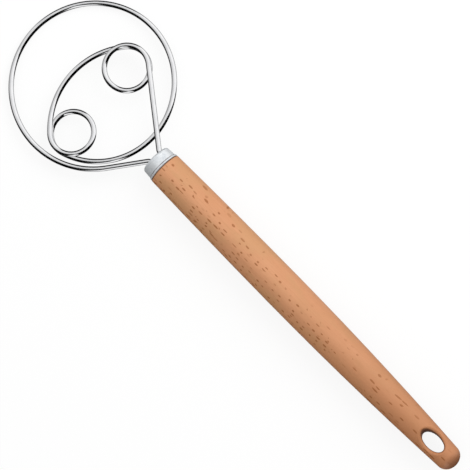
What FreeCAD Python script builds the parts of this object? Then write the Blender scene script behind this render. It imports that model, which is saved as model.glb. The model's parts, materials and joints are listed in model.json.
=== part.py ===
import FreeCAD, Part
import math
import os

# Dough whisk: one bent steel wire, a steel ferrule and a turned beech handle. All sizes are in
# millimetres and degrees. The whisk lies on its belly, head towards -X and butt towards +X, and the
# origin is under the middle of its footprint. Until it is placed there, X = 0 is the wood's front
# shoulder and the X axis is the handle's own axis.

# Handle
handle_length = 229.25     # front shoulder to the tip of the butt
front_radius = 9.9         # just behind the ferrule
belly_radius = 10.9        # thickest place
belly_place = 94.0         # from the front shoulder
butt_radius = 7.2          # where the rounded butt begins
butt_dome = 6.0            # length of the rounded butt
shoulder_round = 0.6       # edge of the wood beside the ferrule

# Hanging hole, an ellipse along the handle
hole_from_butt = 17.75     # its middle, from the tip of the butt
hole_length = 15.4
hole_width = 8.4
hole_round = 1.4           # rounded rim, above and below
rim_share = 0.45           # most of the wood beside the hole that the rounded rim may take
hole_turn = 3.0            # about the handle's axis, off square to the head

# Ferrule
ferrule_length = 7.5       # front shoulder of the wood to the ferrule's front face
ferrule_step = 0.45        # the wood stands this much proud of the ferrule's flank
ferrule_taper = 0.5        # how much smaller the radius is at the front
ferrule_round = 1.6        # between the flank and the front face
ferrule_wall = 0.5
ferrule_bead = 1.2         # width of the rolled rear edge
ferrule_bead_rise = 0.4    # how far that edge stands proud of the flank
ferrule_fit = 0.05         # all round the wood's nose

# Wire and its two tails in the handle
wire_diameter = 3.0
wire_hole_clearance = 0.15  # all round the wire, in the ferrule's face
bond_thickness = 0.2       # adhesive all round a tail, in its bore
bond_plug = 2.0            # adhesive past a tail's end
tail_depth = 40.0          # into the wood from its front shoulder
tail_spacing = 7.3         # between the tails, across
tail_offset = 0.65         # middle of the two tails, across from the handle's axis
tail_gap = 0.2             # clear height between the lead's tail and the stem's above it
tail_stub = 0.1            # straight wire in front of the ferrule
bend_radius = 2.2          # centreline of the bends in front of the ferrule

# Head. Radii, gaps and insets are those of the wire's centreline.
ring_radius = 45.8
ring_gap = 9.7             # between the bends and the ring's near side
ring_offset = 4.08         # the ring's centre, across the head from the handle's axis
lead_spread = 2.1          # the lead runs on an arc this much larger than the ring
ring_start = -130.0        # where the lead's arc becomes the ring
ring_end = 21.0            # where the ring turns in towards the first eye
ring_drop = 1.2            # the ring's end below its start
eye_1_radius = 12.2
eye_1_bearing = -65.75     # direction from the ring's centre
eye_1_inset = 4.20         # between the ring and the eye, along that direction
eye_2_radius = 12.5
eye_2_bearing = 66.6
eye_2_inset = 11.8
back_bulge = 9.7           # arc from eye to eye, past the line that touches both on the far side
coil_gap = 0.7             # between the two turns of an eye
coil_level = 30.0          # how far a turn stays level past the place where two turns lie together
gap_steps = 5              # points for each wire diameter, where the wire's gap to itself is measured

# What follows from these
wire_radius = wire_diameter / 2
bore_radius = wire_radius + bond_thickness
hole_place = handle_length - hole_from_butt
ferrule_rear_radius = front_radius - ferrule_step
ferrule_front_radius = ferrule_rear_radius - ferrule_taper
lead_side = tail_offset - tail_spacing / 2
stem_side = tail_offset + tail_spacing / 2
tail_rise = wire_diameter + tail_gap
lead_height = -tail_rise / 2
stem_height = tail_rise / 2
bend_x = -ferrule_length - tail_stub
coil_pitch = wire_diameter + coil_gap
quarter = math.pi / 2
full_turn = 2 * math.pi
ring_reach = ring_radius + ring_gap
ring = FreeCAD.Vector(-ring_reach, ring_offset, 0)
x_axis = FreeCAD.Vector(1, 0, 0)
y_axis = FreeCAD.Vector(0, 1, 0)
z_axis = FreeCAD.Vector(0, 0, 1)


def polar(angle):
    """Unit vector in the plan at this angle."""
    return FreeCAD.Vector(math.cos(angle), math.sin(angle), 0)


def angle_of(vector):
    return math.atan2(vector.y, vector.x)


def clockwise(start, end):
    """Angle turned when going clockwise from one direction to another."""
    return (start - end) % full_turn


# The head's plan: every arc turns clockwise, and each one is tangent to the next.

def eye_centre(radius, bearing, inset):
    """Centre of an eye that lies inside the ring."""
    return ring + polar(math.radians(bearing)) * (ring_radius - radius - inset)


eye_1 = eye_centre(eye_1_radius, eye_1_bearing, eye_1_inset)
eye_2 = eye_centre(eye_2_radius, eye_2_bearing, eye_2_inset)


def lead_circle():
    """Centre and radius of the larger arc that the lead runs on, which touches the ring at its start."""
    centre = ring - polar(math.radians(ring_start)) * lead_spread
    return centre, ring_radius + lead_spread


def inner_circle():
    """Centre and radius of the arc that leaves the ring at its end and touches the first eye."""
    out = polar(math.radians(ring_end))
    end = ring + out * ring_radius
    to_end = end - eye_1
    radius = (to_end.dot(to_end) - eye_1_radius ** 2) / (2 * (to_end.dot(out) - eye_1_radius))
    return end - out * radius, radius


def back_circle():
    """Centre and radius of the arc that goes round the far side of both eyes and touches them."""
    span = eye_2 - eye_1
    mean_radius = (eye_1_radius + eye_2_radius) / 2
    radius = mean_radius + (back_bulge + span.Length ** 2 / (4 * back_bulge)) / 2
    to_eye_1 = radius - eye_1_radius
    to_eye_2 = radius - eye_2_radius
    along = (span.Length ** 2 + to_eye_1 ** 2 - to_eye_2 ** 2) / (2 * span.Length)
    across = math.sqrt(to_eye_1 ** 2 - along ** 2)
    span.normalize()
    centre = eye_1 + span * along + FreeCAD.Vector(span.y, -span.x, 0) * across
    return centre, radius


def cross_tangent(left_centre, left_radius, right_centre, right_radius, left_first):
    """Heading and ends of the line between a left turn and a right turn, in travel order."""
    start, end = (left_centre, right_centre) if left_first else (right_centre, left_centre)
    lean = math.asin((left_radius + right_radius) / (end - start).Length)
    heading = angle_of(end - start) + (lean if left_first else -lean)
    right_hand = polar(heading - quarter)
    left_end = left_centre + right_hand * left_radius
    right_end = right_centre - right_hand * right_radius
    return (heading, left_end, right_end) if left_first else (heading, right_end, left_end)


# The head slopes down from the bends, so that the ring's far end lies on the same surface as the belly.
ring_sweep = clockwise(math.radians(ring_start), math.radians(ring_end))
far_drop = ring_drop * clockwise(math.radians(ring_start), math.pi) / ring_sweep
far_end_fall = belly_radius - wire_radius + lead_height - far_drop
head_slope = math.asin(far_end_fall / (ring_reach + ring_radius))
along_head = FreeCAD.Vector(math.cos(head_slope), 0, math.sin(head_slope))
above_head = FreeCAD.Vector(-math.sin(head_slope), 0, math.cos(head_slope))
head_origin = FreeCAD.Vector(bend_x, 0, lead_height)
stem_plan = FreeCAD.Vector(tail_rise * math.sin(head_slope), stem_side, 0)
stem_level = tail_rise * math.cos(head_slope)


def turned(vector):
    """Direction in the head's own axes, given in the handle's axes."""
    return along_head * vector.x + y_axis * vector.y + above_head * vector.z


def head_point(plan, level):
    return head_origin + turned(FreeCAD.Vector(plan.x, plan.y, level))


def head_direction(heading, slope):
    direction = turned(polar(heading) + z_axis * slope)
    return direction.normalize()


class Station:
    """A point of the wire's path, its heading in the plan and its climb for each millimetre."""

    def __init__(self, plan, heading, level, climb):
        self.plan = plan
        self.heading = heading
        self.level = level
        self.climb = climb

    def place(self):
        return head_point(self.plan, self.level), head_direction(self.heading, self.climb)


def turn_stations(centre, radius, start, sweep, level, end_level):
    """Stations of one clockwise turn, no further apart than a quarter turn."""
    steps = math.ceil(sweep / quarter)
    climb = (end_level - level) / (radius * sweep)
    stations = []
    for step in range(steps + 1):
        share = step / steps
        angle = start - sweep * share
        height = level + (end_level - level) * share
        stations.append(Station(centre + polar(angle) * radius, angle - quarter, height, climb))
    return stations


def eye_turns(centre, radius, enter, leave, level):
    """An eye's full turn and a bit: level where two turns lie together, climbing between."""
    shared = clockwise(enter, leave)
    flat = shared + math.radians(coil_level)
    rise = full_turn + shared - 2 * flat
    top = level + coil_pitch
    return [
        (centre, radius, enter, flat, level, level),
        (centre, radius, enter - flat, rise, level, top),
        (centre, radius, enter - flat - rise, flat, top, top),
    ]


def head_stations():
    """The stations from the end of the lead's straight to the start of the stem, and both straights."""
    lead_bend = FreeCAD.Vector(0, lead_side - bend_radius, 0)
    lead_centre, lead_radius = lead_circle()
    inner_centre, inner_radius = inner_circle()
    back_centre, back_radius = back_circle()
    lead_line = cross_tangent(lead_bend, bend_radius, lead_centre, lead_radius, True)
    stem_bend = stem_plan + y_axis * bend_radius
    stem_line = cross_tangent(stem_bend, bend_radius, eye_2, eye_2_radius, False)
    lead_angle = angle_of(lead_line[2] - lead_centre)
    start = math.radians(ring_start)
    end = math.radians(ring_end)
    eye_1_in = angle_of(eye_1 - inner_centre)
    eye_1_out = angle_of(eye_1 - back_centre)
    eye_2_in = angle_of(eye_2 - back_centre)
    eye_2_out = angle_of(stem_line[1] - eye_2)
    low = -ring_drop
    middle = low + coil_pitch
    top = middle + coil_pitch
    turns = [
        (lead_centre, lead_radius, lead_angle, clockwise(lead_angle, start), 0, 0),
        (ring, ring_radius, start, ring_sweep, 0, low),
        (inner_centre, inner_radius, end, clockwise(end, eye_1_in), low, low),
    ]
    turns += eye_turns(eye_1, eye_1_radius, eye_1_in, eye_1_out, low)
    turns.append((back_centre, back_radius, eye_1_out, clockwise(eye_1_out, eye_2_in), middle, middle))
    turns += eye_turns(eye_2, eye_2_radius, eye_2_in, eye_2_out, middle)
    stations = []
    for turn in turns:
        new = turn_stations(*turn)
        if stations:
            joint = stations.pop()
            new[0].climb = (joint.climb + new[0].climb) / 2
        stations += new
    stem_climb = (stem_level - top) / (stem_line[2] - stem_line[1]).Length
    stations[-1].climb = stem_climb
    lead_start = Station(lead_line[1], lead_line[0], 0, 0)
    stem_end = Station(stem_line[2], stem_line[0], stem_level, stem_climb)
    return lead_start, stations, stem_end


# The wire's path in space: straight runs, and two tangent arcs between one station and the next.

def arc_from(start, direction, end):
    """Arc that leaves a point in a direction and reaches another point."""
    chord = end - start
    side = chord - direction * chord.dot(direction)
    side.normalize()
    radius = chord.dot(chord) / (2 * chord.dot(side))
    centre = start + side * radius
    outward = (start + end) * 0.5 - centre
    middle = centre + outward.normalize() * radius
    return Part.Arc(start, middle, end).toShape()


def arc_pair(start, direction, end, end_direction):
    """Two arcs, tangent to each other, between two points with given directions."""
    chord = end - start
    both = direction + end_direction
    spread = 2 * (1 - direction.dot(end_direction))
    reach = chord.dot(both)
    length = (math.sqrt(reach ** 2 + spread * chord.dot(chord)) - reach) / spread
    middle = (start + end + (direction - end_direction) * length) * 0.5
    first = arc_from(start, direction, middle)
    back = arc_from(end, end_direction * -1, middle)
    back.reverse()
    return [first, back]


def line(start, end):
    return Part.LineSegment(start, end).toShape()


def wire_path():
    """Edges of the wire's centreline, from the lead's tail to the stem's tail."""
    lead_start, stations, stem_end = head_stations()
    lead_tail = FreeCAD.Vector(tail_depth, lead_side, lead_height)
    lead_exit = FreeCAD.Vector(bend_x, lead_side, lead_height)
    stem_exit = FreeCAD.Vector(bend_x, stem_side, stem_height)
    stem_tail = FreeCAD.Vector(tail_depth, stem_side, stem_height)
    places = [station.place() for station in stations]
    edges = [line(lead_tail, lead_exit)]
    edges += arc_pair(lead_exit, -x_axis, *lead_start.place())
    edges.append(line(lead_start.place()[0], places[0][0]))
    for before, after in zip(places, places[1:]):
        edges += arc_pair(*before, *after)
    edges.append(line(places[-1][0], stem_end.place()[0]))
    edges += arc_pair(*stem_end.place(), stem_exit, x_axis)
    edges.append(line(stem_exit, stem_tail))
    return edges


def least_gap(edges):
    """Least clear space between the wire and another stretch of itself, on points along it."""
    points = []
    for edge in edges:
        stretch = edge.discretize(Distance=wire_diameter / gap_steps)
        if edge.Orientation == "Reversed":
            stretch.reverse()
        points += stretch[:-1]
    apart = 4 * gap_steps
    nearest = min(
        (points[i] - points[j]).Length
        for i in range(len(points))
        for j in range(i + apart, len(points))
    )
    return nearest - wire_diameter


def make_wire():
    edges = wire_path()
    path = Part.Wire(edges)
    section = Part.Wire(Part.Circle(path.OrderedVertexes[0].Point, -x_axis, wire_radius).toShape())
    wire = path.makePipeShell([section], True, False)
    expected = math.pi * wire_radius ** 2 * path.Length
    print("wire length %.1f, volume over section times length %.5f" % (path.Length, wire.Volume / expected))
    print("wire's least gap to itself %.3f" % least_gap(edges))
    return wire


# Turned pieces

def turned_solid(edges):
    """Solid turned about the handle's axis from an outline that starts and ends on that axis."""
    outline = Part.Wire(edges + [line(edges[-1].lastVertex(True).Point, edges[0].firstVertex(True).Point)])
    return Part.Face(outline).revolve(FreeCAD.Vector(), x_axis, 360)


def cap(inset):
    """The ferrule's outer form, made smaller all round by an inset."""
    front = inset - ferrule_length
    rear = FreeCAD.Vector(0, ferrule_rear_radius - inset, 0)
    corner = FreeCAD.Vector(front, ferrule_front_radius - inset, 0)
    outline = [
        line(FreeCAD.Vector(front, 0, 0), corner),
        line(corner, rear),
        line(rear, FreeCAD.Vector()),
    ]
    solid = turned_solid(outline)
    edge = min(solid.Edges, key=lambda e: (e.CenterOfMass - FreeCAD.Vector(front, 0, 0)).Length)
    return solid.makeFillet(ferrule_round - inset, [edge])


def tail_cylinder(radius, start, end, side):
    """Cylinder on one tail's axis: side is -1 for the lead's tail and 1 for the stem's."""
    across = tail_offset + side * tail_spacing / 2
    base = FreeCAD.Vector(start, across, side * stem_height)
    return Part.makeCylinder(radius, end - start, base, x_axis)


def make_ferrule():
    bead_radius = ferrule_bead / 2
    bead_circle = ferrule_rear_radius + ferrule_bead_rise - bead_radius
    bead_place = FreeCAD.Vector(-bead_radius, 0, 0)
    rear = Part.makeCylinder(front_radius, bead_radius, bead_place, x_axis)
    bead = Part.makeTorus(bead_circle, bead_radius, bead_place, x_axis)
    shell = cap(0).cut(rear).fuse(bead).cut(cap(ferrule_wall))
    for side in (-1, 1):
        hole = tail_cylinder(wire_radius + wire_hole_clearance, -2 * ferrule_length, 0, side)
        shell = shell.cut(hole)
    return shell


def belly_arc(end):
    """Arc of the handle's outline that is level at the belly and passes through an end point."""
    top = FreeCAD.Vector(belly_place, belly_radius, 0)
    return arc_from(top, x_axis if end.x > belly_place else -x_axis, end)


def make_handle():
    front = FreeCAD.Vector(0, front_radius, 0)
    dome = FreeCAD.Vector(handle_length - butt_dome, butt_radius, 0)
    tip = FreeCAD.Vector(handle_length, 0, 0)
    front_arc = belly_arc(front)
    rear_arc = belly_arc(dome)
    slope = rear_arc.tangentAt(rear_arc.LastParameter)
    curve = Part.BezierCurve()
    roundness = 4 / 3 * math.tan(quarter / 4)
    rim = tip + y_axis * (butt_radius * roundness)
    curve.setPoles([dome, dome + slope * (butt_dome * roundness / slope.x), rim, tip])
    front_arc.reverse()
    body = turned_solid([line(FreeCAD.Vector(), front), front_arc, rear_arc, curve.toShape()])
    edge = min(body.Edges, key=lambda e: abs(e.CenterOfMass.x) + abs(e.Length - full_turn * front_radius))
    body = body.makeFillet(shoulder_round, [edge])
    body = body.fuse(cap(ferrule_wall + ferrule_fit)).removeSplitter()
    body = cut_hanging_hole(body)
    for side in (-1, 1):
        body = body.cut(tail_cylinder(bore_radius, -ferrule_length, tail_depth + bond_plug, side))
    return body


def wood_radius(place):
    """The handle's radius between its belly and its butt, on the arc that joins them."""
    run = handle_length - butt_dome - belly_place
    fall = belly_radius - butt_radius
    arc_radius = (run ** 2 + fall ** 2) / (2 * fall)
    return belly_radius - arc_radius + math.sqrt(arc_radius ** 2 - (place - belly_place) ** 2)


def cut_hanging_hole(body):
    """Oval hole through the butt with a rounded rim above and below."""
    centre = FreeCAD.Vector(hole_place, 0, -2 * belly_radius)
    oval = Part.Ellipse(centre, hole_length / 2, hole_width / 2).toShape()
    hole = Part.Face(Part.Wire(oval)).extrude(z_axis * 4 * belly_radius)
    hole.rotate(FreeCAD.Vector(), x_axis, -hole_turn)
    body = body.cut(hole)
    near_hole = [e for e in body.Edges if abs(e.CenterOfMass.x - hole_place) < hole_width / 2]
    rims = [e for e in near_hole if e.BoundBox.XLength > hole_length / 2]
    wall = wood_radius(hole_place) - hole_width / 2
    return body.makeFillet(min(hole_round, rim_share * wall), rims)


def make_bond(side):
    """Adhesive sleeve round one tail, closed past the tail's end."""
    start = ferrule_wall + ferrule_fit - ferrule_length
    plug = tail_cylinder(bore_radius, start, tail_depth + bond_plug, side)
    return plug.cut(tail_cylinder(wire_radius, start, tail_depth, side))


pieces = {
    "handle": make_handle(),
    "ferrule": make_ferrule(),
    "whisk_wire": make_wire(),
    "lead_tail_bond": make_bond(-1),
    "stem_tail_bond": make_bond(1),
}

# Onto the surface that the whisk lies on, with the origin under the middle of its footprint
box = Part.makeCompound(list(pieces.values())).optimalBoundingBox(False, False)
to_origin = FreeCAD.Vector(-box.Center.x, -box.Center.y, -box.ZMin)
os.makedirs("parts", exist_ok=True)
for name, shape in pieces.items():
    shape.translate(to_origin)
    shape.exportStep("parts/%s.step" % name)
    print("%s: %d solids, valid %s, volume %.1f" % (name, len(shape.Solids), shape.isValid(), shape.Volume))
print("handle axis and front shoulder at %.3f %.3f %.3f" % tuple(to_origin))
print("size %.2f x %.2f x %.2f" % (box.XLength, box.YLength, box.ZLength))
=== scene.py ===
import json
import math

import bpy
from bpy.props import FloatProperty, FloatVectorProperty, IntProperty, PointerProperty
from mathutils import Matrix, Vector


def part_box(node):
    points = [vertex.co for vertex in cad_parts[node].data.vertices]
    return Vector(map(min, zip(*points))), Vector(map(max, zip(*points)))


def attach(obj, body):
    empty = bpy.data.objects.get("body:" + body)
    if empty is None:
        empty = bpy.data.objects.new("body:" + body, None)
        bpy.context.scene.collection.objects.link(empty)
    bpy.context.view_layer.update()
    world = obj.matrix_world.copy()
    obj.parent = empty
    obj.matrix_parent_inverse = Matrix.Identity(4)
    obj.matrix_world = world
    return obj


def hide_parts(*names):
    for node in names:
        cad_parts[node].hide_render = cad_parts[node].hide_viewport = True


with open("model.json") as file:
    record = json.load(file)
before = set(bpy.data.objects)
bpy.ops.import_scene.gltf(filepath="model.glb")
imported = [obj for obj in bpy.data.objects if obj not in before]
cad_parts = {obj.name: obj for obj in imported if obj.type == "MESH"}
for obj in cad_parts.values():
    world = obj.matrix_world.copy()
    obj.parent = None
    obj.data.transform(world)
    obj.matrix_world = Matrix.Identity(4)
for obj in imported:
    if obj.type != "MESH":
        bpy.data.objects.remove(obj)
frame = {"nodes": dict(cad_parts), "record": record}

bl_info = {
    "name": "Dough whisk",
    "version": (1, 0, 0),
    "blender": (4, 5, 0),
    "location": "3D View > Sidebar > Whisk",
    "description": "Finishes a dough whisk of steel wire with a beech handle and sets it on a white table",
    "category": "Object",
}

MM = 0.001
QUARTER_TURN = math.pi / 2
FULL_TURN = 2 * math.pi

# Dark corners of the studio that the steel shows: degrees clockwise from the picture's right, lift towards
# the camera, half width of the dark middle, half width with its soft edge, and depth of the dark
DARK_PATCHES = (
    (56, 64.5, 20.5, 25, 0.995),
    (47, 44, 27, 31, 0.995),
    (42, 22, 32, 36, 0.995),
    (35, -6, 35, 42, 0.99),
    (42, -30, 32, 42, 0.99),
    (56, -18, 22, 30, 0.97),
    (140, 57, 18, 25, 0.92),
    (131, 36, 23, 29, 0.99),
    (152, 32, 18, 30, 0.85),
    (137, 4, 29, 35, 0.99),
    (144, -28, 33, 42, 0.99),
    (160, -2, 20, 32, 0.75),
    (195, 2, 18, 34, 0.50),
    (212, 40, 28, 48, 0.25),
    (258, -4, 24, 34, 0.97),
    (262, -35, 25, 38, 0.95),
)

# How the flecks change along the handle: place from the ferrule to the butt, then share
FLECK_LENGTHS = ((0.0, 0.90), (0.25, 0.85), (0.4, 0.66), (0.62, 0.70), (0.78, 1.2), (1.0, 1.2))
FLECK_NUMBERS = ((0.0, 0.66), (0.25, 0.55), (0.4, 0.37), (0.62, 0.39), (0.78, 0.40), (1.0, 0.38))

# Scales of the wood's patterns, along the handle and both ways across it, in repeats for each metre
SWIRL_SCALE = (28, 28, 28)
GROWTH_SCALE = (9, 130, 130)
BLOTCH_SCALE = (40, 120, 120)
FIBRE_SCALE = (70, 1700, 1700)
PORE_SCALE = (420, 5200, 5200)
FLECK_EDGE_SCALE = (900, 2600, 300)
FLECK_GROUP_SCALE = (26, 75, 75)

# Scales of the steel's fine marks and of its smudges, in repeats for each metre
WIRE_MARK_SCALE = (900, 900, 900)
BRUSH_LINE_SCALE = 60
SMUDGE_SCALE = 180

# Adhesive, where it is clear and where it is cloudy, and the scale of its clouds
ADHESIVE_CLEAR = (0.66, 0.58, 0.38, 1.0)
ADHESIVE_CLOUDY = (0.50, 0.41, 0.24, 1.0)
CLOUD_SCALE = 400

# Side from which the soft light is strongest, and how much it gains there and loses on the other side
SKY_SIDE = (-0.6, 0.5, 0.75)
SKY_SWING = 0.2

# Middle of the key lamp, in metres, and how the camera is set: sensor in millimetres, far end in metres
KEY_PLACE = (-0.05, 0.37, 0.36)
SENSOR_WIDTH = 36.0
CLIP_END = 40.0

# Edges sharper than this stay crisp when the wire is shaded smooth
SMOOTH_ANGLE = math.radians(40)

# Places read from the frame
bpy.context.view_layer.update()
handle_low, handle_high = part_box("handle")
axis_y = (handle_low.y + handle_high.y) / 2
axis_z = (handle_low.z + handle_high.z) / 2
shoulder_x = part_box("ferrule")[1].x
butt_x = handle_high.x
hanging_hole = next(mount for mount in frame["record"]["mounts"] if mount["name"] == "hanging_hole")
hole_place = Vector(hanging_hole["pos_m"])
hole_axis = Vector(hanging_hole["axis"])


# Small helpers

def colour(*rgb):
    return (*rgb, 1.0)


def paint(name, description, default):
    return FloatVectorProperty(
        name=name, description=description, default=default, subtype="COLOR", size=4, min=0, max=1
    )


def length(name, description, default):
    return FloatProperty(name=name, description=description, default=default, unit="LENGTH")


def number(name, description, default):
    return FloatProperty(name=name, description=description, default=default)


def angle(name, description, default):
    return FloatProperty(
        name=name, description=description, default=math.radians(default), subtype="ANGLE"
    )


def node(tree, kind, inputs=None, **settings):
    """Add a node, with its settings, and its inputs as values or as sockets to link from."""
    made = tree.nodes.new(kind)
    for name, value in settings.items():
        setattr(made, name, value)
    for key, value in (inputs or {}).items():
        if isinstance(value, bpy.types.NodeSocket):
            tree.links.new(value, made.inputs[key])
        else:
            made.inputs[key].default_value = value
    return made


def math_node(tree, operation, *values):
    made = node(tree, "ShaderNodeMath", dict(enumerate(values)), operation=operation)
    return made.outputs[0]


def vector_node(tree, operation, *values):
    made = node(tree, "ShaderNodeVectorMath", dict(enumerate(values)), operation=operation)
    return made.outputs["Value" if operation in ("DOT_PRODUCT", "LENGTH") else "Vector"]


def remap(tree, value, low, high, to_low=0.0, to_high=1.0, smooth=True):
    """Value taken from one range to another, held at both ends."""
    made = node(
        tree, "ShaderNodeMapRange",
        {"Value": value, 1: low, 2: high, 3: to_low, 4: to_high},
        interpolation_type="SMOOTHSTEP" if smooth else "LINEAR",
    )
    return made.outputs["Result"]


def mix_colours(tree, factor, first, second):
    made = node(
        tree, "ShaderNodeMix", {0: factor, 6: first, 7: second}, data_type="RGBA", clamp_factor=True
    )
    return made.outputs[2]


def mix_values(tree, factor, first, second):
    made = node(
        tree, "ShaderNodeMix", {0: factor, 2: first, 3: second}, data_type="FLOAT", clamp_factor=True
    )
    return made.outputs[0]


def noise(tree, vector, scale, detail=2.0, roughness=0.5):
    made = node(
        tree, "ShaderNodeTexNoise",
        {"Vector": vector, "Scale": scale, "Detail": detail, "Roughness": roughness},
    )
    return made.outputs["Fac"]


def stretched(tree, vector, scale, location=(0, 0, 0)):
    """Coordinates scaled for each axis, for a pattern that runs along one of them."""
    made = node(tree, "ShaderNodeMapping", {"Vector": vector, "Location": location, "Scale": scale})
    return made.outputs["Vector"]


def seen_rays(tree):
    """One for the camera's own rays, glass and reflections, and nought for the light that pieces catch."""
    rays = node(tree, "ShaderNodeLightPath").outputs
    seen = math_node(tree, "MAXIMUM", rays["Is Camera Ray"], rays["Is Transmission Ray"])
    return math_node(tree, "MAXIMUM", seen, rays["Is Glossy Ray"])


def new_material(name):
    """An empty material, its Principled shader and the piece's own coordinates."""
    material = bpy.data.materials.new(name)
    material.use_nodes = True
    tree = material.node_tree
    tree.nodes.clear()
    shader = node(tree, "ShaderNodeBsdfPrincipled")
    node(tree, "ShaderNodeOutputMaterial", {"Surface": shader.outputs[0]})
    place = node(tree, "ShaderNodeTexCoord").outputs["Object"]
    return material, tree, shader, place


def set_inputs(tree, shader, **inputs):
    """Set or link a shader's sockets, named with underscores for spaces."""
    for name, value in inputs.items():
        socket = shader.inputs[name.replace("_", " ")]
        if isinstance(value, bpy.types.NodeSocket):
            tree.links.new(value, socket)
        else:
            socket.default_value = value


# Sizes and colours that a user would change

class WireSettings(bpy.types.PropertyGroup):
    """Sizes of the bent wire. Radii, gaps and insets are those of its centreline."""

    diameter: length("Diameter", "Thickness of the wire", 3.0 * MM)
    sides: IntProperty(name="Sides", description="Sides of the wire's round section", default=32)
    facet: length("Facet", "Length of a step along a bend", 0.9 * MM)
    tail_depth: length("Tail depth", "Wire in the wood, from its front shoulder", 40.0 * MM)
    tail_spacing: length("Tail spacing", "Between the two tails, across", 7.3 * MM)
    tail_offset: length("Tail offset", "Middle of the two tails, across from the handle's axis", 0.65 * MM)
    tail_rise: length("Tail rise", "The stem's tail above the lead's", 3.2 * MM)
    bend_place: length("Bend place", "Bends in front of the wood's shoulder", 7.6 * MM)
    bend_radius: length("Bend radius", "Bends in front of the ferrule", 2.2 * MM)
    ring_radius: length("Ring radius", "Big ring", 45.8 * MM)
    ring_gap: length("Ring gap", "Between the bends and the ring's near side", 9.7 * MM)
    ring_offset: length("Ring offset", "The ring's centre, across from the handle's axis", 4.08 * MM)
    ring_start: angle("Ring start", "Where the lead's arc becomes the ring", -130.0)
    ring_end: angle("Ring end", "Where the ring turns in towards the first eye", 21.0)
    ring_drop: length("Ring drop", "The ring's end below its start", 1.2 * MM)
    lead_spread: length("Lead spread", "The lead's arc is this much larger than the ring", 2.1 * MM)
    eye_1_radius: length("Eye 1 radius", "First eye", 12.2 * MM)
    eye_1_bearing: angle("Eye 1 bearing", "Direction from the ring's centre", -65.75)
    eye_1_inset: length("Eye 1 inset", "Between the ring and the first eye", 4.20 * MM)
    eye_2_radius: length("Eye 2 radius", "Second eye", 12.5 * MM)
    eye_2_bearing: angle("Eye 2 bearing", "Direction from the ring's centre", 66.6)
    eye_2_inset: length("Eye 2 inset", "Between the ring and the second eye", 11.8 * MM)
    back_bulge: length("Back bulge", "Arc from eye to eye, past the line that touches both", 9.7 * MM)
    coil_pitch: length("Coil pitch", "From one turn of an eye to the next", 3.7 * MM)
    coil_level: angle("Coil level", "How far a turn stays level past two turns that lie together", 30.0)
    far_height: length("Far height", "Middle of the wire above the table, at the ring's far end", 1.5 * MM)


class BeechSettings(bpy.types.PropertyGroup):
    """Colours and figure of the handle's wood, with painted shade beside the ferrule, towards the butt and
    in the hanging hole.
    """

    pale: paint("Pale wood", "Colour of the pale early wood", colour(0.68, 0.314, 0.147))
    deep: paint("Deep wood", "Colour of the deeper late wood", colour(0.60, 0.259, 0.111))
    # Partly deeper wood towards the butt and partly painted shade, where the key lamp's light falls off
    # along the handle
    butt_tone_and_shade: paint("Butt tone and shade", "Colour that the butt darkens towards", colour(0.50, 0.19, 0.068))
    olive: paint("Olive wood", "Colour of the greyer patches", colour(0.57, 0.283, 0.117))
    fleck: paint("Fleck", "Colour of the short ray flecks", colour(0.30, 0.085, 0.006))
    # Painted shade: dark line on the wood where it meets the ferrule
    joint_shade: paint("Joint", "Colour of the dark line beside the ferrule", colour(0.11, 0.04, 0.018))
    joint_line: length("Joint line", "Width of the dark line beside the ferrule", 0.9 * MM)
    # Partly the bored wall's own darker wood and partly painted shade inside the hanging hole
    bored_and_shade: paint("Bored wood", "Colour of the hanging hole's wall", colour(0.19, 0.062, 0.02))
    hole_length: length("Hole length", "Hanging hole, along the handle", 15.4 * MM)
    hole_width: length("Hole width", "Hanging hole, across the handle", 8.4 * MM)
    # Partly darker end grain and partly painted shade on the butt's end, which faces away from the key
    # lamp
    end_grain_and_shade: paint("End grain and shade", "Colour of the butt's end", colour(0.26, 0.095, 0.038))
    end_depth: length("End depth", "How far the end grain shows, from the butt's tip", 6.0 * MM)
    ray_turn: angle("Ray turn", "Turn of the rays about the handle, off the upright", 22.0)
    ray_depth: length("Ray depth", "Depth of a ray into the wood", 28.0 * MM)
    fleck_length: length("Fleck length", "Longest common fleck, along the handle", 3.6 * MM)
    fleck_width: length("Fleck width", "Width of a fleck", 0.85 * MM)
    fleck_pitch: length("Fleck pitch", "Space along the handle from fleck to fleck", 5.2 * MM)
    fleck_spread: length("Fleck spread", "Space across the handle from fleck to fleck", 2.7 * MM)
    drift: length("Drift", "How far the grain wanders, across the handle", 2.4 * MM)
    roughness: number("Roughness", "Roughness of the oiled wood", 0.44)
    bored_roughness: number("Bored roughness", "Roughness of the hanging hole's wall", 0.9)
    coat: number("Coat", "Weight of the thin satin coat", 0.4)
    coat_roughness: number("Coat roughness", "Roughness of the satin coat", 0.4)


class SteelSettings(bpy.types.PropertyGroup):
    """Finish of the wire and of the ferrule."""

    wire: paint("Wire", "Colour of the polished wire", colour(0.91, 0.91, 0.92))
    wire_smudge: paint("Wire smudge", "Colour of the wire's smudges", colour(0.83, 0.835, 0.85))
    wire_roughness: number("Wire roughness", "Roughness of the polished wire", 0.10)
    ferrule: paint("Ferrule", "Colour of the satin ferrule", colour(0.84, 0.865, 0.885))
    ferrule_line: paint("Ferrule line", "Colour of the ferrule's brush lines", colour(0.73, 0.76, 0.785))
    ferrule_cloud: paint("Ferrule cloud", "Colour of the ferrule's dull patches", colour(0.60, 0.64, 0.68))
    ferrule_metal: number("Ferrule metal", "Share of bare metal in the ferrule's satin look", 0.38)
    ferrule_roughness: number("Ferrule roughness", "Roughness of the satin ferrule", 0.36)
    # Painted shade: colour that darkens the crease in front of the ferrule's rolled edge
    crease_shade: paint("Crease shade", "Colour of the crease in front of the rolled edge", colour(0.16, 0.12, 0.12))
    bead_width: length("Bead width", "The ferrule's rolled rear edge", 1.2 * MM)
    brush_pitch: length("Brush pitch", "Space between the ferrule's brush lines", 0.12 * MM)


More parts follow.
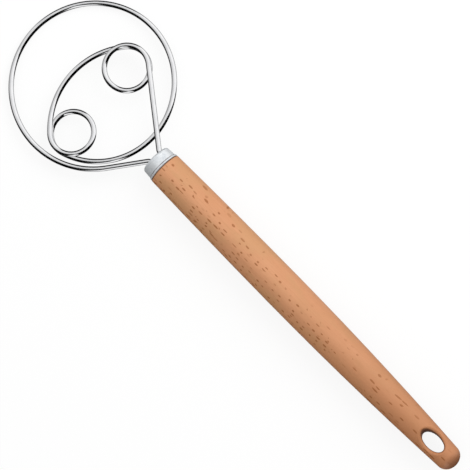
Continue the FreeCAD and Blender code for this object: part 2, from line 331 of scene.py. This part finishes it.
class StageSettings(bpy.types.PropertyGroup):
    """Camera, light and table."""

    tilt: angle("Tilt", "Lean of the view towards the butt", 9.0)
    turn: angle("Turn", "Turn of the handle in the picture, below the level", 45.55)
    distance: length("Distance", "From the camera to the handle", 2.8)
    lens: FloatProperty(name="Lens", description="Focal length", default=391.6, unit="CAMERA")
    aim_behind: length("Aim behind", "Picture's middle, behind the wood's front shoulder", 54.07 * MM)
    aim_across: length("Aim across", "Picture's middle, across from the handle's axis", 1.94 * MM)
    table: length("Table", "Size of the table", 16.0)
    table_white: number("Table white", "Share of plain white in the table's look", 0.86)
    table_pale: number("Table pale", "Brightness of the table's own surface", 0.97)
    table_bounce: number("Table bounce", "Share of its light that the table sends back to the whisk", 0.5)
    sky: number("Sky", "Level of the soft light from all round", 0.76)
    under: number("Under", "Level of what the steel shows from below the table's edge", 0.35)
    key_power: FloatProperty(name="Key", description="Power of the key lamp", default=1.11, unit="POWER")
    key_size: length("Key size", "Width of the key lamp", 0.40)


# Materials

def steel_marks():
    """Shared finish of bare steel: fine marks along one direction, and faint smudges."""
    group = bpy.data.node_groups.new("steel_marks", "ShaderNodeTree")
    group.interface.new_socket("Lines", in_out="INPUT", socket_type="NodeSocketVector")
    group.interface.new_socket("Place", in_out="INPUT", socket_type="NodeSocketVector")
    group.interface.new_socket("Height", in_out="OUTPUT", socket_type="NodeSocketFloat")
    group.interface.new_socket("Smudge", in_out="OUTPUT", socket_type="NodeSocketFloat")
    entry = group.nodes.new("NodeGroupInput")
    exit_node = group.nodes.new("NodeGroupOutput")
    lines = noise(group, entry.outputs["Lines"], 1.0, detail=3.0, roughness=0.7)
    smudge = noise(group, entry.outputs["Place"], SMUDGE_SCALE, detail=4.0, roughness=0.6)
    group.links.new(lines, exit_node.inputs["Height"])
    group.links.new(smudge, exit_node.inputs["Smudge"])
    return group


def place_marks(tree, place, scale):
    group = bpy.data.node_groups.get("steel_marks") or steel_marks()
    made = node(tree, "ShaderNodeGroup", node_tree=group)
    tree.links.new(stretched(tree, place, scale), made.inputs["Lines"])
    tree.links.new(place, made.inputs["Place"])
    return made.outputs["Height"], made.outputs["Smudge"]


def wire_steel(steel):
    material, tree, shader, place = new_material("wire_steel")
    height, smudge = place_marks(tree, place, WIRE_MARK_SCALE)
    tint = mix_colours(tree, remap(tree, smudge, 0.35, 0.7), steel.wire, steel.wire_smudge)
    low, high = steel.wire_roughness * 0.8, steel.wire_roughness * 1.35
    bump = node(tree, "ShaderNodeBump", {"Height": height, "Strength": 0.04, "Distance": 0.05 * MM})
    set_inputs(
        tree, shader, Base_Color=tint, Metallic=1.0,
        Roughness=remap(tree, smudge, 0.3, 0.75, low, high), Normal=bump.outputs[0],
    )
    return material


def ferrule_steel(steel):
    material, tree, shader, place = new_material("ferrule_steel")
    line_scale = (1 / steel.brush_pitch, BRUSH_LINE_SCALE, BRUSH_LINE_SCALE)
    height, smudge = place_marks(tree, place, line_scale)
    tint = mix_colours(tree, remap(tree, height, 0.3, 0.7), steel.ferrule_line, steel.ferrule)
    tint = mix_colours(tree, remap(tree, smudge, 0.48, 0.66, 0.0, 0.6), tint, steel.ferrule_cloud)
    # Painted shade: the crease in front of the rolled edge is darkened in the colour, in patches that
    # follow the smudges
    apart = node(tree, "ShaderNodeSeparateXYZ", {"Vector": place})
    from_crease = math_node(tree, "SUBTRACT", apart.outputs[0], shoulder_x - steel.bead_width * 1.08)
    crease = math_node(tree, "ABSOLUTE", from_crease)
    crease_shade_mask = remap(tree, crease, steel.bead_width * 0.08, steel.bead_width * 0.3, 0.85, 0.0)
    crease_shade_mask = math_node(tree, "MULTIPLY", crease_shade_mask, remap(tree, smudge, 0.3, 0.6, 0.45, 1.0))
    tint = mix_colours(tree, crease_shade_mask, tint, steel.crease_shade)
    low, high = steel.ferrule_roughness * 0.85, steel.ferrule_roughness * 1.25
    bump = node(tree, "ShaderNodeBump", {"Height": height, "Strength": 0.35, "Distance": 0.03 * MM})
    set_inputs(
        tree, shader, Base_Color=tint, Metallic=steel.ferrule_metal,
        Roughness=remap(tree, smudge, 0.3, 0.7, low, high), Normal=bump.outputs[0],
    )
    return material


def ramp(tree, value, *stops):
    """Value read from a curve through (place, height) stops."""
    made = node(tree, "ShaderNodeValToRGB", {"Fac": value})
    points = made.color_ramp.elements
    points[0].position, points[1].position = stops[0][0], stops[-1][0]
    points[0].color, points[1].color = colour(*[stops[0][1]] * 3), colour(*[stops[-1][1]] * 3)
    for place, height in stops[1:-1]:
        points.new(place).color = colour(*[height] * 3)
    return made.outputs["Color"]


def ray_flecks(tree, grain, along, across, beech):
    """Mask of the dashes that beech shows: ends of thin rays, long on the handle and deep in the wood."""
    pitch = (beech.fleck_pitch, beech.fleck_spread, beech.ray_depth)
    grid = stretched(tree, grain, tuple(1 / p for p in pitch))
    cells = node(tree, "ShaderNodeTexVoronoi", {"Vector": grid, "Scale": 1.0, "Randomness": 1.0})
    chance = node(tree, "ShaderNodeSeparateColor", {"Color": cells.outputs["Color"]})
    away = vector_node(tree, "SUBTRACT", grid, cells.outputs["Position"])
    tall = math_node(tree, "MULTIPLY", ramp(tree, along, *FLECK_LENGTHS), beech.fleck_length)
    spread = remap(tree, chance.outputs[1], 0.0, 1.0, 0.5, 1.25, smooth=False)
    tall = math_node(tree, "MULTIPLY", tall, spread)
    wide = remap(tree, chance.outputs[2], 0.0, 1.0, beech.fleck_width * 0.7, beech.fleck_width * 1.2)
    apart = node(tree, "ShaderNodeSeparateXYZ", {"Vector": away})

    def share_squared(offset, cell, size):
        share = math_node(tree, "DIVIDE", math_node(tree, "MULTIPLY", offset, 2 * cell), size)
        return math_node(tree, "MULTIPLY", share, share)

    lengthways = share_squared(apart.outputs[0], beech.fleck_pitch, tall)
    sideways = share_squared(apart.outputs[1], beech.fleck_spread, wide)
    oval = math_node(tree, "ADD", lengthways, sideways)
    ragged = noise(tree, stretched(tree, grain, FLECK_EDGE_SCALE), 1.0, detail=1.0)
    edge = math_node(tree, "ADD", oval, math_node(tree, "MULTIPLY", ragged, 0.5))
    patchy = noise(tree, stretched(tree, grain, FLECK_GROUP_SCALE), 1.0)
    kept = math_node(tree, "ADD", chance.outputs[0], math_node(tree, "MULTIPLY", patchy, 0.7))
    kept = math_node(tree, "ADD", kept, ramp(tree, along, *FLECK_NUMBERS))
    thin = remap(tree, across, -0.1, 0.8, 0.0, 0.45)
    strength = remap(tree, math_node(tree, "SUBTRACT", kept, thin), 1.15, 1.45)
    return math_node(tree, "MULTIPLY", remap(tree, edge, 0.85, 1.5, 1.0, 0.0), strength)


def hole_wall(tree, place, beech):
    """Mask of the hanging hole's wall, which fades out on its rounded rim."""
    away = vector_node(tree, "SUBTRACT", place, tuple(hole_place))
    along = Vector((1, 0, 0))
    lengthways = vector_node(tree, "DOT_PRODUCT", away, tuple(along * 2 / beech.hole_length))
    sideways = vector_node(tree, "DOT_PRODUCT", away, tuple(hole_axis.cross(along) * 2 / beech.hole_width))
    oval = node(tree, "ShaderNodeCombineXYZ", {"X": lengthways, "Y": sideways}).outputs[0]
    return remap(tree, vector_node(tree, "LENGTH", oval), 1.02, 1.14, 0.92, 0.0)


def beech_wood(beech):
    material, tree, shader, place = new_material("beech")
    centred = stretched(tree, place, (1, 1, 1), (-shoulder_x, -axis_y, -axis_z))
    swirl = noise(tree, stretched(tree, place, SWIRL_SCALE), 1.0, detail=1.0)
    drift = node(tree, "ShaderNodeCombineXYZ", {"Y": math_node(tree, "MULTIPLY", swirl, beech.drift)})
    wavy = vector_node(tree, "ADD", centred, drift.outputs[0])
    turned = node(tree, "ShaderNodeMapping", {"Vector": wavy, "Rotation": (-beech.ray_turn, 0, 0)})
    grain = turned.outputs[0]
    apart = node(tree, "ShaderNodeSeparateXYZ", {"Vector": centred})
    handle_length = butt_x - shoulder_x
    along = math_node(tree, "DIVIDE", apart.outputs[0], handle_length)
    growth = noise(tree, stretched(tree, grain, GROWTH_SCALE), 1.0, detail=3.0)
    blotch = noise(tree, stretched(tree, grain, BLOTCH_SCALE, (3, 1, 2)), 1.0, detail=2.0)
    fibre = noise(tree, stretched(tree, grain, FIBRE_SCALE), 1.0, detail=3.0, roughness=0.6)
    pores = noise(tree, stretched(tree, grain, PORE_SCALE), 1.0, detail=2.0)
    figure = mix_values(tree, 0.4, growth, fibre)
    wood = mix_colours(tree, remap(tree, figure, 0.34, 0.66), beech.pale, beech.deep)
    wood = mix_colours(tree, remap(tree, blotch, 0.42, 0.66, 0.0, 0.65), wood, beech.olive)
    # Partly deeper tone and partly painted shade: the wood darkens towards the butt, as the light falls
    # off there
    wood = mix_colours(tree, remap(tree, along, 0.25, 1.0, 0.0, 0.8), wood, beech.butt_tone_and_shade)
    pore_mask = remap(tree, pores, 0.6, 0.78, 0.0, 0.25)
    wood = mix_colours(tree, pore_mask, wood, beech.fleck)
    across = math_node(tree, "DIVIDE", apart.outputs[1], (handle_high.y - handle_low.y) / 2)
    flecks = ray_flecks(tree, grain, along, across, beech)
    shown = math_node(tree, "MULTIPLY", flecks, remap(tree, along, 0.3, 0.65, 0.75, 0.72))
    wood = mix_colours(tree, shown, wood, beech.fleck)
    # Painted shade: a dark line on the wood beside the ferrule, where the gap between the parts is in
    # shade
    joint_shade = remap(tree, apart.outputs[0], beech.joint_line * 0.5, beech.joint_line, 0.9, 0.0)
    wood = mix_colours(tree, joint_shade, wood, beech.joint_shade)
    # Partly end grain and partly painted shade: the butt's end is darkened in the colour towards its tip
    end = remap(tree, apart.outputs[0], handle_length - beech.end_depth, handle_length, 0.0, 0.9)
    wood = mix_colours(tree, end, wood, beech.end_grain_and_shade)
    # Painted shade inside the hanging hole, together with the bored wall's darker wood; the same mask also
    # sets the wall's roughness and leaves off the coat
    bored_and_shade = hole_wall(tree, place, beech)
    wood = mix_colours(tree, bored_and_shade, wood, beech.bored_and_shade)
    height = math_node(tree, "SUBTRACT", math_node(tree, "MULTIPLY", fibre, 0.6), pore_mask)
    bump = node(tree, "ShaderNodeBump", {"Height": height, "Strength": 0.25, "Distance": 0.08 * MM})
    rough = remap(tree, figure, 0.3, 0.7, beech.roughness - 0.05, beech.roughness + 0.07)
    rough = mix_values(tree, bored_and_shade, rough, beech.bored_roughness)
    bare = math_node(tree, "MAXIMUM", bored_and_shade, shown)
    set_inputs(
        tree, shader, Base_Color=wood, Roughness=rough, Normal=bump.outputs[0], Specular_IOR_Level=0.6,
        Coat_Weight=mix_values(tree, bare, beech.coat, 0.0), Coat_Roughness=beech.coat_roughness,
    )
    return material


def cured_adhesive():
    material, tree, shader, place = new_material("adhesive")
    cloud = noise(tree, place, CLOUD_SCALE, detail=3.0)
    tint = mix_colours(tree, cloud, ADHESIVE_CLEAR, ADHESIVE_CLOUDY)
    set_inputs(tree, shader, Base_Color=tint, Roughness=remap(tree, cloud, 0.3, 0.7, 0.35, 0.5))
    return material


def dress(piece, material):
    """Give a piece its material, and hide it from the steel, which shows only the studio."""
    piece.data.materials.clear()
    piece.data.materials.append(material)
    piece.visible_glossy = False


# The wire's path

def polar(turn):
    return Vector((math.cos(turn), math.sin(turn), 0))


def angle_of(vector):
    return math.atan2(vector.y, vector.x)


def clockwise(start, end):
    """Angle turned when going clockwise from one direction to another."""
    return (start - end) % FULL_TURN


def inner_circle(wire, ring, eye):
    """Centre and radius of the arc that leaves the ring at its end and touches the first eye."""
    out = polar(wire.ring_end)
    end = ring + out * wire.ring_radius
    to_end = end - eye
    ahead = to_end.dot(out) - wire.eye_1_radius
    radius = (to_end.length_squared - wire.eye_1_radius ** 2) / (2 * ahead)
    return end - out * radius, radius


def back_circle(wire, eye_1, eye_2):
    """Centre and radius of the arc that goes round the far side of both eyes and touches them."""
    span = eye_2 - eye_1
    reach = span.length
    mean_radius = (wire.eye_1_radius + wire.eye_2_radius) / 2
    radius = mean_radius + (wire.back_bulge + reach ** 2 / (4 * wire.back_bulge)) / 2
    to_eye_1, to_eye_2 = radius - wire.eye_1_radius, radius - wire.eye_2_radius
    along = (reach ** 2 + to_eye_1 ** 2 - to_eye_2 ** 2) / (2 * reach)
    across = math.sqrt(to_eye_1 ** 2 - along ** 2)
    span.normalize()
    return eye_1 + span * along + Vector((span.y, -span.x, 0)) * across, radius


def cross_tangent(left_centre, left_radius, right_centre, right_radius, left_first):
    """Heading and ends of the line between a left turn and a right turn, in travel order."""
    start, end = (left_centre, right_centre) if left_first else (right_centre, left_centre)
    lean = math.asin((left_radius + right_radius) / (end - start).length)
    heading = angle_of(end - start) + (lean if left_first else -lean)
    right_hand = polar(heading - QUARTER_TURN)
    left_end = left_centre + right_hand * left_radius
    right_end = right_centre - right_hand * right_radius
    return (heading, left_end, right_end) if left_first else (heading, right_end, left_end)


def turn_stations(centre, radius, start, sweep, level, end_level):
    """Plan, heading, level and climb along one clockwise turn, no further apart than a quarter turn."""
    steps = math.ceil(sweep / QUARTER_TURN)
    climb = (end_level - level) / (radius * sweep)
    stations = []
    for step in range(steps + 1):
        turn = start - sweep * step / steps
        height = level + (end_level - level) * step / steps
        stations.append([centre + polar(turn) * radius, turn - QUARTER_TURN, height, climb])
    return stations


def eye_turns(wire, centre, radius, enter, leave, level):
    """An eye's full turn and a bit: level where two turns lie together, climbing between."""
    shared = clockwise(enter, leave)
    flat = shared + wire.coil_level
    rise = FULL_TURN + shared - 2 * flat
    top = level + wire.coil_pitch
    return [
        (centre, radius, enter, flat, level, level),
        (centre, radius, enter - flat, rise, level, top),
        (centre, radius, enter - flat - rise, flat, top, top),
    ]


def head_turns(wire):
    """The plan's clockwise turns from the lead to the stem, and the straights at both ends."""
    ring = Vector((-wire.ring_radius - wire.ring_gap, wire.ring_offset, 0))
    eye_1 = ring + polar(wire.eye_1_bearing) * (wire.ring_radius - wire.eye_1_radius - wire.eye_1_inset)
    eye_2 = ring + polar(wire.eye_2_bearing) * (wire.ring_radius - wire.eye_2_radius - wire.eye_2_inset)
    lead_centre = ring - polar(wire.ring_start) * wire.lead_spread
    lead_radius = wire.ring_radius + wire.lead_spread
    inner_centre, inner_radius = inner_circle(wire, ring, eye_1)
    back_centre, back_radius = back_circle(wire, eye_1, eye_2)
    slope = head_slope(wire)
    bend_side = wire.tail_spacing / 2 + wire.bend_radius
    lead_bend = Vector((0, wire.tail_offset - bend_side, 0))
    stem_bend = Vector((wire.tail_rise * math.sin(slope), wire.tail_offset + bend_side, 0))
    lead_line = cross_tangent(lead_bend, wire.bend_radius, lead_centre, lead_radius, True)
    stem_line = cross_tangent(stem_bend, wire.bend_radius, eye_2, wire.eye_2_radius, False)
    lead_start = angle_of(lead_line[2] - lead_centre)
    ring_sweep = clockwise(wire.ring_start, wire.ring_end)
    eye_1_in, eye_1_out = angle_of(eye_1 - inner_centre), angle_of(eye_1 - back_centre)
    eye_2_in, eye_2_out = angle_of(eye_2 - back_centre), angle_of(stem_line[1] - eye_2)
    low = -wire.ring_drop
    middle = low + wire.coil_pitch
    turns = [
        (lead_centre, lead_radius, lead_start, clockwise(lead_start, wire.ring_start), 0, 0),
        (ring, wire.ring_radius, wire.ring_start, ring_sweep, 0, low),
        (inner_centre, inner_radius, wire.ring_end, clockwise(wire.ring_end, eye_1_in), low, low),
    ]
    turns += eye_turns(wire, eye_1, wire.eye_1_radius, eye_1_in, eye_1_out, low)
    turns.append((back_centre, back_radius, eye_1_out, clockwise(eye_1_out, eye_2_in), middle, middle))
    turns += eye_turns(wire, eye_2, wire.eye_2_radius, eye_2_in, eye_2_out, middle)
    return lead_line, turns, stem_line


def head_slope(wire):
    """Slope of the head, down from the bends to the ring's far end on the table."""
    sweep = clockwise(wire.ring_start, wire.ring_end)
    drop = wire.ring_drop * clockwise(wire.ring_start, math.pi) / sweep
    fall = axis_z - wire.tail_rise / 2 - drop - wire.far_height
    return math.asin(fall / (2 * wire.ring_radius + wire.ring_gap))


def head_places(wire):
    """Points and directions of the path, from the lead's straight to the stem's bend."""
    lead_line, turns, stem_line = head_turns(wire)
    stations = [[lead_line[1], lead_line[0], 0, 0]]
    for turn in turns:
        new = turn_stations(*turn)
        if len(stations) > 1:
            new[0][3] = (stations.pop()[3] + new[0][3]) / 2
        stations += new
    slope = head_slope(wire)
    stem_level = wire.tail_rise * math.cos(slope)
    climb = (stem_level - stations[-1][2]) / (stem_line[2] - stem_line[1]).length
    stations[-1][3] = climb
    stations.append([stem_line[2], stem_line[0], stem_level, climb])
    lean = Matrix.Rotation(-slope, 3, "Y")
    origin = Vector((shoulder_x - wire.bend_place, axis_y, axis_z - wire.tail_rise / 2))
    places = []
    for plan, heading, level, climb in stations:
        point = origin + lean @ (plan + Vector((0, 0, level)))
        direction = lean @ (polar(heading) + Vector((0, 0, climb)))
        places.append((point, direction.normalized()))
    return places


class Pen:
    """Draws a round wire: the open end of its skin, with the place and heading of that end."""

    def __init__(self, wire, place, heading):
        self.place = place
        self.heading = heading
        self.facet = wire.facet
        turn = heading.to_track_quat("Z", "Y").to_euler()
        bpy.ops.mesh.primitive_circle_add(
            vertices=wire.sides, radius=wire.diameter / 2, location=place, rotation=turn
        )
        bpy.ops.object.transform_apply()
        bpy.ops.object.mode_set(mode="EDIT")
        bpy.ops.mesh.select_mode(type="EDGE")
        bpy.ops.mesh.select_all(action="SELECT")

    def straight(self, end):
        bpy.ops.mesh.extrude_edges_move(TRANSFORM_OT_translate={"value": end - self.place})
        self.place = end

    def bend(self, end):
        """One arc that leaves in the pen's heading and reaches a point."""
        chord = end - self.place
        ahead = chord.dot(self.heading)
        side = chord - self.heading * ahead
        aside = side.length
        side.normalize()
        radius = chord.length_squared / (2 * aside)
        turn = 2 * math.atan2(aside, ahead)
        axis = self.heading.cross(side)
        steps = max(1, math.ceil(turn * radius / self.facet))
        bpy.ops.mesh.spin(steps=steps, angle=-turn, center=self.place + side * radius, axis=axis)
        self.heading = Matrix.Rotation(turn, 3, axis) @ self.heading
        self.place = end

    def curve(self, end, heading):
        """Two arcs, tangent to each other, to a point with a given heading."""
        chord = end - self.place
        spread = 2 * (1 - self.heading.dot(heading))
        reach = chord.dot(self.heading + heading)
        step = (math.sqrt(reach ** 2 + spread * chord.length_squared) - reach) / spread
        self.bend((self.place + end + (self.heading - heading) * step) / 2)
        self.bend(end)
        self.heading = heading

    def close(self):
        bpy.ops.mesh.select_all(action="SELECT")
        bpy.ops.mesh.fill_holes(sides=0)
        bpy.ops.mesh.select_all(action="SELECT")
        bpy.ops.mesh.normals_make_consistent(inside=False)
        bpy.ops.object.mode_set(mode="OBJECT")
        bpy.ops.object.shade_smooth_by_angle(angle=SMOOTH_ANGLE)


def draw_wire(wire):
    places = head_places(wire)
    ahead = Vector((1, 0, 0))
    half = Vector((0, wire.tail_spacing / 2, wire.tail_rise / 2))
    axis = Vector((shoulder_x, axis_y + wire.tail_offset, axis_z))
    exit_place = axis - ahead * wire.bend_place
    tail_place = axis + ahead * wire.tail_depth
    pen = Pen(wire, tail_place - half, -ahead)
    pen.straight(exit_place - half)
    pen.curve(*places[0])
    pen.straight(places[1][0])
    for place in places[2:-1]:
        pen.curve(*place)
    pen.straight(places[-1][0])
    pen.curve(exit_place + half, ahead)
    pen.straight(tail_place + half)
    pen.close()
    return bpy.context.object


# Pieces

class WHISK_OT_handle(bpy.types.Operator):
    """Finish the beech handle"""

    bl_idname = "whisk.handle"
    bl_label = "Handle"

    def execute(self, context):
        dress(frame["nodes"]["handle"], beech_wood(context.scene.whisk_beech))
        return {"FINISHED"}


class WHISK_OT_ferrule(bpy.types.Operator):
    """Finish the steel ferrule"""

    bl_idname = "whisk.ferrule"
    bl_label = "Ferrule"

    def execute(self, context):
        dress(frame["nodes"]["ferrule"], ferrule_steel(context.scene.whisk_steel))
        return {"FINISHED"}


class WHISK_OT_wire(bpy.types.Operator):
    """Model the bent wire: tails, ring, two eyes and the arcs between them"""

    bl_idname = "whisk.wire"
    bl_label = "Wire"

    def execute(self, context):
        bpy.ops.object.select_all(action="DESELECT")
        piece = draw_wire(context.scene.whisk_wire)
        piece.name = "wire"
        dress(piece, wire_steel(context.scene.whisk_steel))
        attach(piece, "root")
        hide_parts("whisk_wire")
        return {"FINISHED"}


class WHISK_OT_bonds(bpy.types.Operator):
    """Finish the adhesive round the wire's tails"""

    bl_idname = "whisk.bonds"
    bl_label = "Adhesive"

    def execute(self, context):
        adhesive = cured_adhesive()
        for name in ("lead_tail_bond", "stem_tail_bond"):
            dress(frame["nodes"][name], adhesive)
        return {"FINISHED"}


# Stage

def view_axes(stage):
    """Right, up and backward directions of the picture."""
    backward = Vector((math.sin(stage.tilt), 0, math.cos(stage.tilt)))
    along = Vector((math.cos(stage.tilt), 0, -math.sin(stage.tilt)))
    across = backward.cross(along)
    right = along * math.cos(stage.turn) + across * math.sin(stage.turn)
    up = across * math.cos(stage.turn) - along * math.sin(stage.turn)
    return right, up, backward


def place_camera(stage):
    right, up, backward = view_axes(stage)
    aim = Vector((shoulder_x + stage.aim_behind, axis_y + stage.aim_across, axis_z))
    camera = bpy.data.objects.new("camera", bpy.data.cameras.new("camera"))
    bpy.context.scene.collection.objects.link(camera)
    camera.matrix_world = Matrix.Translation(aim + backward * stage.distance) @ Matrix(
        (right, up, backward)
    ).transposed().to_4x4()
    camera.data.sensor_width = SENSOR_WIDTH
    camera.data.lens = stage.lens
    camera.data.clip_end = CLIP_END
    bpy.context.scene.camera = camera


def lay_table(stage):
    """White table that keeps the shadow, hidden from the steel as the pieces are."""
    bpy.ops.mesh.primitive_plane_add(size=stage.table, location=(0, 0, 0))
    table = bpy.context.object
    table.name = "table"
    table.visible_glossy = False
    material = bpy.data.materials.new("white_table")
    material.use_nodes = True
    tree = material.node_tree
    tree.nodes.clear()
    seen = seen_rays(tree)
    pale = mix_colours(tree, seen, colour(*[stage.table_bounce] * 3), colour(*[stage.table_pale] * 3))
    matte = node(tree, "ShaderNodeBsdfDiffuse", {"Color": pale})
    white = node(tree, "ShaderNodeEmission", {"Color": colour(1, 1, 1), "Strength": 1.0})
    share = math_node(tree, "MULTIPLY", seen, stage.table_white)
    look = node(tree, "ShaderNodeMixShader", {0: share, 1: matte.outputs[0], 2: white.outputs[0]})
    node(tree, "ShaderNodeOutputMaterial", {"Surface": look.outputs[0]})
    table.data.materials.append(material)


def light_world(stage):
    """White all round, with the dark corners of the studio that steel shows along its lower edges."""
    world = bpy.data.worlds.new("studio")
    bpy.context.scene.world = world
    world.use_nodes = True
    tree = world.node_tree
    tree.nodes.clear()
    right, up, backward = view_axes(stage)

    def towards(bearing, lift):
        turn, rise = math.radians(bearing), math.radians(lift)
        flat = right * math.cos(turn) - up * math.sin(turn)
        return tuple(flat * math.cos(rise) + backward * math.sin(rise))

    look = node(tree, "ShaderNodeTexCoord").outputs["Generated"]

    def dark_patch(bearing, lift, inner, outer, depth):
        facing = vector_node(tree, "DOT_PRODUCT", look, towards(bearing, lift))
        low, high = math.cos(math.radians(outer)), math.cos(math.radians(inner))
        return remap(tree, facing, low, high, 1.0, 1.0 - depth)

    below = vector_node(tree, "DOT_PRODUCT", look, tuple(-backward))
    level = remap(tree, below, 0.1, 0.45, 1.0, stage.under)
    for patch in DARK_PATCHES:
        level = math_node(tree, "MULTIPLY", level, dark_patch(*patch))
    mirrored = node(tree, "ShaderNodeLightPath").outputs["Is Glossy Ray"]
    shown = mix_colours(tree, mirrored, colour(1, 1, 1), level)
    facing = vector_node(tree, "DOT_PRODUCT", look, tuple(Vector(SKY_SIDE).normalized()))
    weak, strong = stage.sky * (1 - SKY_SWING), stage.sky * (1 + SKY_SWING)
    soft = remap(tree, facing, -1.0, 1.0, weak, strong, smooth=False)
    strength = mix_values(tree, seen_rays(tree), soft, 1.0)
    sky = node(tree, "ShaderNodeBackground", {"Color": shown, "Strength": strength})
    node(tree, "ShaderNodeOutputWorld", {"Surface": sky.outputs[0]})


def hang_lamp(name, place, aim, size, power):
    lamp = bpy.data.objects.new(name, bpy.data.lights.new(name, "AREA"))
    bpy.context.scene.collection.objects.link(lamp)
    lamp.data.shape = "DISK"
    lamp.data.size = size
    lamp.data.energy = power
    lamp.location = place
    lamp.rotation_euler = (Vector(aim) - Vector(place)).to_track_quat("-Z", "Y").to_euler()
    lamp.visible_glossy = False


class WHISK_OT_stage(bpy.types.Operator):
    """Set the camera, the light and the white table"""

    bl_idname = "whisk.stage"
    bl_label = "Stage"

    def execute(self, context):
        stage = context.scene.whisk_stage
        context.scene.view_settings.view_transform = "Standard"
        place_camera(stage)
        lay_table(stage)
        light_world(stage)
        hang_lamp("key", KEY_PLACE, (KEY_PLACE[0], axis_y, axis_z), stage.key_size, stage.key_power)
        return {"FINISHED"}


class WHISK_PT_panel(bpy.types.Panel):
    """Lists the whisk's pieces and its stage"""

    bl_idname = "WHISK_PT_panel"
    bl_label = "Dough whisk"
    bl_space_type = "VIEW_3D"
    bl_region_type = "UI"
    bl_category = "Whisk"

    def draw(self, context):
        for step in STEPS:
            self.layout.operator(step.bl_idname)
        scene = context.scene
        for settings in (scene.whisk_wire, scene.whisk_beech, scene.whisk_steel, scene.whisk_stage):
            box = self.layout.box()
            for name in settings.__annotations__:
                box.prop(settings, name)


STEPS = (WHISK_OT_handle, WHISK_OT_ferrule, WHISK_OT_wire, WHISK_OT_bonds, WHISK_OT_stage)
CLASSES = (WireSettings, BeechSettings, SteelSettings, StageSettings, *STEPS, WHISK_PT_panel)


def register():
    for made in CLASSES:
        bpy.utils.register_class(made)
    bpy.types.Scene.whisk_wire = PointerProperty(type=WireSettings)
    bpy.types.Scene.whisk_beech = PointerProperty(type=BeechSettings)
    bpy.types.Scene.whisk_steel = PointerProperty(type=SteelSettings)
    bpy.types.Scene.whisk_stage = PointerProperty(type=StageSettings)


def unregister():
    del bpy.types.Scene.whisk_stage
    del bpy.types.Scene.whisk_steel
    del bpy.types.Scene.whisk_beech
    del bpy.types.Scene.whisk_wire
    for made in reversed(CLASSES):
        bpy.utils.unregister_class(made)


def main():
    register()
    bpy.ops.whisk.handle()
    bpy.ops.whisk.ferrule()
    bpy.ops.whisk.wire()
    bpy.ops.whisk.bonds()
    bpy.ops.whisk.stage()


if __name__ == "__main__":
    main()
